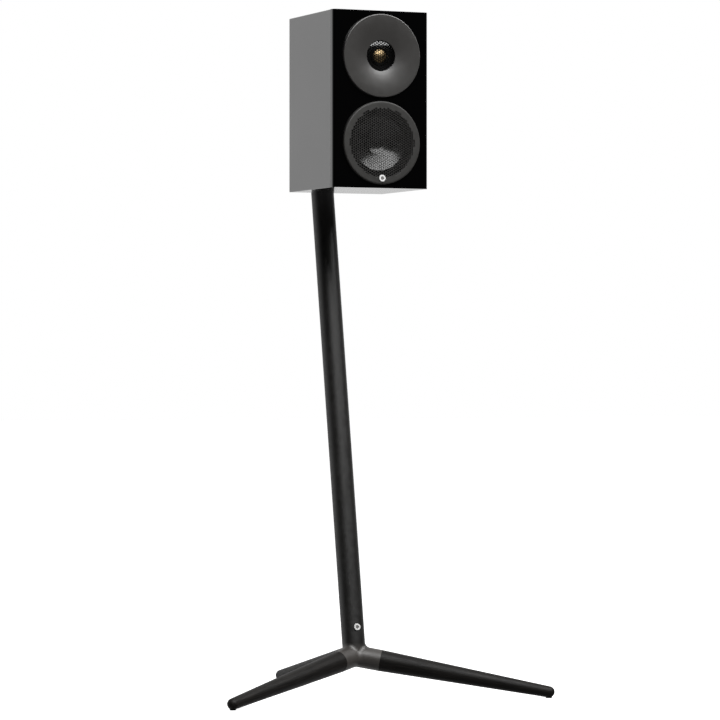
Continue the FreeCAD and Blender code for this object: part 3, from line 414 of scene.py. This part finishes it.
def pitted(name, colour):
    """A dull, finely pitted surface, such as pressed ferrite, fired clay or open foam."""
    finish = Finish(name, colour, 0.55, Specular_IOR_Level=0.5)
    finish.tint(finish.noise(300, 5), 0.8, 1.2)
    finish.bump(finish.noise(900, 4), 0.00004)
    return finish.material


def raw_fibreboard(name, colour):
    """Sawn board, speckled with fibres."""
    finish = Finish(name, colour, 0.85)
    finish.tint(finish.noise(700, 5), 0.85, 1.12)
    finish.bump(finish.noise(1500, 3), 0.00006)
    return finish.material


def stained_wood(name, colour, direction):
    """Black-stained timber with its grain along one direction."""
    finish = Finish(name, colour, 0.5, Specular_IOR_Level=0.24)
    fibres = finish.noise(1, 4, finish.stretched((900, 900, 22), direction))
    pores = finish.noise(1, 2, finish.stretched((1700, 1700, 60), direction))
    finish.tint(fibres, 0.55, (1.9, 1.8, 1.7))
    finish.rough(pores, 0.1)
    finish.bump(fibres, 0.00008)
    finish.bump(pores, 0.00006)
    return finish.material


def winding(name, colour, direction, pitch):
    """Enamelled wire wound in close turns."""
    finish = Finish(name, colour, 0.3, metallic=1.0)
    wave = finish.tree.nodes.new("ShaderNodeTexWave")
    wave.bands_direction = "Z"
    wave.inputs["Scale"].default_value = WAVE_PERIOD / pitch
    finish.link(finish.stretched((1, 1, 1), direction), wave.inputs["Vector"])
    finish.tint(finish.noise(90, 3), 0.85, 1.1)
    finish.bump(wave.outputs["Fac"], pitch * 0.4)
    return finish.material


def woven(name, colour, pitch):
    """Resin-stiffened cloth."""
    finish = Finish(name, colour, 0.8)
    for axis in ("X", "Z"):
        wave = finish.tree.nodes.new("ShaderNodeTexWave")
        wave.bands_direction = axis
        wave.inputs["Scale"].default_value = WAVE_PERIOD / pitch
        finish.link(finish.place, wave.inputs["Vector"])
        finish.bump(wave.outputs["Fac"], pitch * 0.25)
    finish.tint(finish.noise(200, 3), 0.85, 1.15)
    return finish.material


LEG_SLOPE = 0.18
LEG_ANGLES = {"rear_leg": 90, "left_leg": 210, "right_leg": 330}


def leg_direction(angle):
    """The way from the hub out along a leg that points along an angle, in degrees."""
    return Vector((math.cos(math.radians(angle)), math.sin(math.radians(angle)), -LEG_SLOPE)).normalized()


COLUMN_BLACK = (0.0085, 0.008, 0.0073)
GLOSS_BLACK = lacquer("gloss_black_lacquer", (0.0008, 0.0008, 0.0009), 0.06, 1.0)
GREY_LACQUER = lacquer("grey_lacquer", (0.153, 0.153, 0.153), 0.3, 1.0)
RAW_BOARD = raw_fibreboard("raw_fibreboard", (0.45, 0.34, 0.22))
FOAM = pitted("open_cell_foam", (0.1, 0.1, 0.11))
BLACK_PLASTIC = moulded("black_moulded_plastic", (0.018, 0.018, 0.019), 0.45)
BADGE_METAL = satin_silver("satin_badge_metal", (1.0, 1.0, 0.99))
BADGE_DARK = moulded("badge_centre", (0.2, 0.195, 0.19), 0.4)
CAST_FRAME = powder_coat("cast_frame_paint", (0.02, 0.02, 0.022), 0.6, 0.00008)
MOTOR_STEEL = bare_metal("plated_motor_steel", (0.45, 0.45, 0.46), 0.35)
BLACK_STEEL = matte("blackened_motor_steel", (0.003, 0.003, 0.003), 0.8, 0.05)
FERRITE = pitted("ferrite", (0.05, 0.05, 0.055))
TINNED_BRASS = bare_metal("tinned_brass", (0.72, 0.66, 0.5), 0.3)
GRILLE_PAINT = powder_coat("grille_powder_coat", (0.027, 0.0262, 0.0245), 0.5)
WAVEGUIDE = moulded("waveguide_satin", (0.035, 0.0335, 0.0317), 0.315, 0.00001, 1.0, 0.6)
MESH_BLACK = lacquer("mesh_black_lacquer", (0.002, 0.002, 0.002), 0.14, 1.0)
SCREW_STEEL = bare_metal("blackened_screw_steel", (0.16, 0.16, 0.165), 0.34)
BOARD_GREEN = moulded("circuit_board_resin", (0.02, 0.11, 0.045), 0.35, 0.00001)
COPPER = winding("wound_copper_wire", (0.8, 0.36, 0.18), (1, 0, 0), 0.0012)
COIL_COPPER = winding("voice_coil_wire", (0.8, 0.36, 0.18), (0, 1, 0), 0.0004)
SLEEVE_BLUE = moulded("capacitor_sleeve", (0.03, 0.06, 0.2), 0.25, 0.000005)
CERAMIC = pitted("resistor_ceramic", (0.72, 0.7, 0.65))
WIRE_RED = moulded("wire_insulation", (0.3, 0.02, 0.02), 0.4, 0.00001)
BRASS = bare_metal("gilded_brass", (0.86, 0.64, 0.3), 0.22)
KNOB_RED = moulded("red_knob_plastic", (0.42, 0.008, 0.01), 0.28, 0.00001)
KNOB_BLACK = moulded("black_knob_plastic", (0.012, 0.012, 0.012), 0.28, 0.00001)
BRACKET_PAINT = powder_coat("bracket_powder_coat", (0.016, 0.016, 0.017), 0.5)
CONE = coated_cone("coated_cone_skin", (0.002, 0.002, 0.002))
FORMER = bare_metal("former_foil", (0.75, 0.75, 0.76), 0.3)
DULL_BLACK = matte("dull_black_rubber", (0.004, 0.004, 0.004), 0.8, 0.05)
SPIDER_CLOTH = woven("spider_cloth", (0.5, 0.32, 0.1), 0.0006)
DOME_GOLD = bare_metal("anodised_gold_dome", (0.45, 0.33, 0.18), 0.38)
COLUMN_PAINT = powder_coat("column_powder_coat", COLUMN_BLACK, 0.46, gloss=0.75)
HUB_PAINT = cast_hub("hub_satin_paint", (0.064, 0.058, 0.053), COLUMN_BLACK)
PAD_RUBBER = matte("foot_pad_rubber", (0.02, 0.02, 0.02))
LEG_WOOD = {
    label: stained_wood(f"black_stained_wood_{label}", (0.0085, 0.0078, 0.0073), leg_direction(angle))
    for label, angle in LEG_ANGLES.items()
}

CAD_FINISHES = {
    GLOSS_BLACK: ["front_baffle"],
    GREY_LACQUER: ["left_panel", "right_panel", "top_panel", "bottom_panel", "rear_panel"],
    RAW_BOARD: ["cabinet_brace"],
    FOAM: ["damping_foam"],
    BLACK_PLASTIC: ["port_tube", "tweeter_rear_cup", "terminal_plate"],
    DULL_BLACK: ["tweeter_faceplate", "tweeter_surround", "woofer_surround"],
    BADGE_METAL: ["front_badge", "column_badge"],
    CAST_FRAME: ["woofer_basket"],
    MOTOR_STEEL: ["woofer_top_plate", "woofer_back_plate", "tweeter_back_plate"],
    BLACK_STEEL: ["tweeter_top_plate"],
    FERRITE: ["woofer_magnet", "tweeter_magnet"],
    TINNED_BRASS: ["woofer_terminals"],
    GRILLE_PAINT: ["woofer_grille"],
    WAVEGUIDE: ["tweeter_waveguide"],
    MESH_BLACK: ["tweeter_mesh"],
    SCREW_STEEL: [
        "driver_screws",
        "terminal_screws",
        "bracket_screws",
        "pivot_bolt",
        "leg_bolts",
        "board_standoffs",
    ],
    BOARD_GREEN: ["crossover_board"],
    COPPER: ["inductors"],
    COIL_COPPER: ["woofer_voice_coil", "tweeter_voice_coil"],
    SLEEVE_BLUE: ["capacitors"],
    CERAMIC: ["resistors"],
    WIRE_RED: ["internal_wires"],
    BRASS: ["post_stems", "positive_insert", "negative_insert"],
    KNOB_RED: ["positive_knob"],
    KNOB_BLACK: ["negative_knob"],
    BRACKET_PAINT: ["bracket_plate", "bracket_arm"],
    CONE: ["woofer_cone", "woofer_dust_cap"],
    FORMER: ["woofer_coil_former"],
    SPIDER_CLOTH: ["woofer_spider"],
    DOME_GOLD: ["tweeter_dome"],
    COLUMN_PAINT: ["column", "column_cap"],
    HUB_PAINT: ["hub"],
    PAD_RUBBER: ["foot_pads"],
}
CAD_FINISHES.update({material: [label] for label, material in LEG_WOOD.items()})


def dress_cad_nodes():
    """Puts each finish on its CAD nodes."""
    for material, labels in CAD_FINISHES.items():
        for label in labels:
            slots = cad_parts[label].data.materials
            slots.clear()
            slots.append(material)


# Pieces.


def woofer_guard():
    """The pierced steel guard: a field of holes, a plain border, a rolled rim and a lip behind the edge."""
    mesh = bmesh.new()
    low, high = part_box("woofer_grille")
    edge, proud = (high.x - low.x) / 2, FACE_Y - low.y
    zone, hole, bend, skirt, sheet = 53.3 * MM, 1.73 * MM, 2 * MM, 4 * MM, 0.6 * MM
    ring = add_pierced_disc(mesh, zone, hole, lambda radius: proud)
    outline = [(edge - bend * 2, proud)]
    outline += arc((edge - bend, proud - bend), bend, 90, 0, 8)
    outline.append((edge, -skirt))
    carry_on(mesh, ring, outline)
    lip_inside, lip_outside, lip_depth = 50.2 * MM, edge - 0.3 * MM, proud - 1.5 * MM
    add_lathe(mesh, [(lip_inside, lip_depth), (lip_outside, lip_depth)], closed=False)
    mesh.transform(facing(WOOFER, FORWARD))
    piece = finished("woofer_guard", mesh, GRILLE_PAINT, "cabinet")
    thicken(piece, sheet)
    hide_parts("woofer_grille")


def tweeter_guard():
    """The domed guard in the throat, pierced right up to its flange."""
    mesh = bmesh.new()
    low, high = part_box("tweeter_mesh")
    edge, hole, skin, sheet = 22.5 * MM, 1.66 * MM, 0.4 * MM, 0.2 * MM
    flange, rise, foot = (high.x - low.x) / 2, high.y - low.y - skin, FACE_Y - high.y + skin
    beyond = edge + 2 * HOLE_PITCH
    add_pierced_disc(mesh, beyond, hole, lambda radius: foot + dome_height(radius, edge, rise))
    trim(mesh, edge, foot)
    add_lathe(mesh, [(edge - sheet, foot), (flange, foot)], closed=False)
    mesh.transform(facing(TWEETER, FORWARD))
    piece = finished("tweeter_guard", mesh, MESH_BLACK, "cabinet")
    thicken(piece, sheet)
    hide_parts("tweeter_mesh")


def badge(node, centre, direction, body):
    """A blank round badge: a polished ring round a sunken darker centre, with a small raised ring in it."""
    outer, rise, well, back = 5 * MM, 1 * MM, 2.6 * MM, -0.6 * MM
    outer_bevel, inner_bevel, segments = 0.35 * MM, 0.3 * MM, 96
    ring = [(well, back), (outer, back)]
    ring += arc((outer - outer_bevel, rise - outer_bevel), outer_bevel, 0, 90, 6)
    ring += arc((well + inner_bevel, rise - inner_bevel), inner_bevel, 90, 180, 6)
    lathe(f"{node}_ring", ring, centre, direction, BADGE_METAL, body, segments)
    disc_edge, low, high = well - 0.02 * MM, 0.45 * MM, 0.65 * MM
    disc = [(0, back), (disc_edge, back), (disc_edge, low), (1.5 * MM, low), (1.3 * MM, high)]
    disc += [(0.5 * MM, high), (0.3 * MM, low), (0, low)]
    piece = lathe(f"{node}_centre", disc, centre, direction, BADGE_DARK, body, segments)
    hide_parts(node)


def badges():
    """One at the foot of the woofer's guard, one at the foot of the column."""
    low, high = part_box("front_badge")
    badge("front_badge", (0, high.y, (low.z + high.z) / 2), FORWARD, "cabinet")
    low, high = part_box("column_badge")
    outward = Vector((0, -math.cos(COLUMN_LEAN), math.sin(COLUMN_LEAN)))
    badge("column_badge", (low + high) / 2, outward, "stand")


def roll_surround(label, middle, outline):
    """A rubber roll in sectors, each turned part way round from the same outline and riding on no body.

    The outline is in millimetres.
    """
    base = Vector((middle.x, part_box(label)[1].y, middle.z))
    turn = facing(base, FORWARD)
    spread, slices = 2 * math.pi / SURROUND_SECTORS, 8
    points = [(radius * MM, height * MM) for radius, height in outline]
    for sector in range(SURROUND_SECTORS):
        mesh = bmesh.new()
        rows = []
        for step in range(slices + 1):
            angle = spread * (sector + step / slices - 0.5)
            rows.append([mesh.verts.new((r * math.cos(angle), r * math.sin(angle), z)) for r, z in points])
        for row, following in zip(rows, rows[1:]):
            for point in range(len(points)):
                after = (point + 1) % len(points)
                mesh.faces.new([row[point], row[after], following[after], following[point]])
        mesh.transform(turn)
        piece = finished(f"{label}_{sector + 1:02d}", mesh, DULL_BLACK, None)
        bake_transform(piece)
        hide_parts(label)


def surrounds():
    """Each outline goes from the landing on the frame over the roll to the lip on the cone and back."""
    landing, roll, lip, top = 52.2, 45.95, 40, 0.6
    outline = [(landing, 0), (landing, top)] + arc((roll, 0.03), 3.3, 10, 170, 14)
    outline += [(lip, top), (lip, 0)] + arc((roll, -0.52), 2.7, 169, 11, 12)
    roll_surround("woofer_surround", WOOFER, outline)
    landing, roll, lip, top = 18, 12.7, 10.4, 0.3
    outline = [(landing, 0), (landing, top)] + arc((roll, -1.07), 2.7, 31, 147, 12)
    outline += [(lip, 0.1), (lip + 0.3, 0.1)] + arc((roll, -1.28), 2.4, 147, 33, 10)
    roll_surround("tweeter_surround", TWEETER, outline)


def damping_pad():
    """Open-cell foam cut in egg-crate waves, its flat back against the side panel."""
    low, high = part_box("damping_foam")
    size = high - low
    thin, peak, pitch, rounding, edge_share = 5 * MM, 15 * MM, 22 * MM, 7 * MM, 0.55
    mesh = bmesh.new()
    bmesh.ops.create_grid(mesh, x_segments=66, y_segments=60, size=0.5)
    for vertex in mesh.verts:
        along, up = (vertex.co.x + 0.5) * size.y, (vertex.co.y + 0.5) * size.z
        wave = math.sin(2 * math.pi * along / pitch) * math.sin(2 * math.pi * up / pitch)
        depth = (thin + peak) / 2 + (peak - thin) / 2 * wave
        margin = min(along, size.y - along, up, size.z - up) / rounding
        if margin < 1:
            depth *= edge_share + (1 - edge_share) * math.sqrt(1 - (1 - margin) ** 2)
        vertex.co = (high.x - depth, low.y + along, low.z + up)
    border = [edge for edge in mesh.edges if edge.is_boundary]
    walls = bmesh.ops.extrude_edge_only(mesh, edges=border)["geom"]
    for vertex in (part for part in walls if isinstance(part, bmesh.types.BMVert)):
        vertex.co.x = high.x
    bmesh.ops.holes_fill(mesh, edges=[edge for edge in mesh.edges if edge.is_boundary])
    piece = finished("egg_crate_foam", mesh, FOAM, "cabinet")
    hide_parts("damping_foam")


dress_cad_nodes()
woofer_guard()
tweeter_guard()
surrounds()
damping_pad()
badges()


# Stage, light and camera.

ROOM_LIGHT = 0.01
FLOOR_LIGHT = 0.2
BACKDROP_LIGHT = 0.82
FLOOR_GLOW = 0.85


def studio_floor():
    """A white floor that lights nothing and shows in no reflection."""
    mesh = bmesh.new()
    bmesh.ops.create_grid(mesh, x_segments=1, y_segments=1, size=30)
    data = bpy.data.meshes.new("studio_floor")
    mesh.to_mesh(data)
    mesh.free()
    piece = bpy.data.objects.new("studio_floor", data)
    bpy.context.scene.collection.objects.link(piece)
    finish = Finish("studio_floor", (0.8, 0.8, 0.8), 0.9)
    finish.shader.inputs["Emission Color"].default_value = (1, 1, 1, 1)
    finish.shader.inputs["Emission Strength"].default_value = FLOOR_GLOW
    data.materials.append(finish.material)
    piece.visible_diffuse = False
    piece.visible_glossy = False


def soft_box(name, place, target, width, height, power):
    """A rectangular light that the camera doesn't see."""
    light = bpy.data.lights.new(name, "AREA")
    light.shape = "RECTANGLE"
    light.size = width
    light.size_y = height
    light.energy = power
    holder = bpy.data.objects.new(name, light)
    holder.location = place
    holder.rotation_euler = (Vector(target) - Vector(place)).to_track_quat("-Z", "Y").to_euler()
    bpy.context.scene.collection.objects.link(holder)
    holder.visible_camera = False


def sky():
    """White to the camera; as light, a bright backdrop behind, a dim room in front and a pale floor below."""
    world = bpy.data.worlds.new("studio")
    bpy.context.scene.world = world
    world.use_nodes = True
    tree = world.node_tree
    tree.nodes.clear()
    output = tree.nodes.new("ShaderNodeOutputWorld")
    coordinates = tree.nodes.new("ShaderNodeTexCoord")
    split = tree.nodes.new("ShaderNodeSeparateXYZ")
    tree.links.new(coordinates.outputs["Generated"], split.inputs["Vector"])

    def graded(axis, start, end, low, high):
        """Brightness that changes smoothly from low to high along an axis of the sky."""
        ramp = tree.nodes.new("ShaderNodeMapRange")
        ramp.interpolation_type = "SMOOTHSTEP"
        for socket, value in zip(("From Min", "From Max", "To Min", "To Max"), (start, end, low, high)):
            ramp.inputs[socket].default_value = value
        tree.links.new(split.outputs[axis], ramp.inputs["Value"])
        return ramp.outputs["Result"]

    backdrop = graded("Y", start=-0.1, end=0.6, low=ROOM_LIGHT, high=BACKDROP_LIGHT)
    floor = graded("Z", start=-0.5, end=-0.1, low=FLOOR_LIGHT, high=0)
    strongest = tree.nodes.new("ShaderNodeMath")
    strongest.operation = "MAXIMUM"
    tree.links.new(backdrop, strongest.inputs[0])
    tree.links.new(floor, strongest.inputs[1])
    studio = tree.nodes.new("ShaderNodeBackground")
    tree.links.new(strongest.outputs[0], studio.inputs["Strength"])
    white = tree.nodes.new("ShaderNodeBackground")
    white.inputs["Color"].default_value = (1, 1, 1, 1)
    white.inputs["Strength"].default_value = 1.0
    ray = tree.nodes.new("ShaderNodeLightPath")
    mix = tree.nodes.new("ShaderNodeMixShader")
    tree.links.new(ray.outputs["Is Camera Ray"], mix.inputs["Fac"])
    tree.links.new(studio.outputs["Background"], mix.inputs[1])
    tree.links.new(white.outputs["Background"], mix.inputs[2])
    tree.links.new(mix.outputs["Shader"], output.inputs["Surface"])


def camera():
    """A level camera to the front left, a little below the middle of the whole."""
    lens = bpy.data.cameras.new("camera")
    lens.sensor_width = 36
    lens.lens = 183.12
    lens.shift_y = 0.0184
    lens.clip_end = 100
    holder = bpy.data.objects.new("camera", lens)
    holder.location = (-2.1575, -5.0838, 0.4807)
    holder.rotation_euler = (math.radians(90), 0, -math.radians(23.38))
    bpy.context.scene.collection.objects.link(holder)
    bpy.context.scene.camera = holder


studio_floor()
sky()
soft_box("key", place=(0.6, -1.9, 2.9), target=(0, -0.15, 0.8), width=4.4, height=1.7, power=165)
camera()
bpy.context.scene.view_settings.view_transform = "Standard"
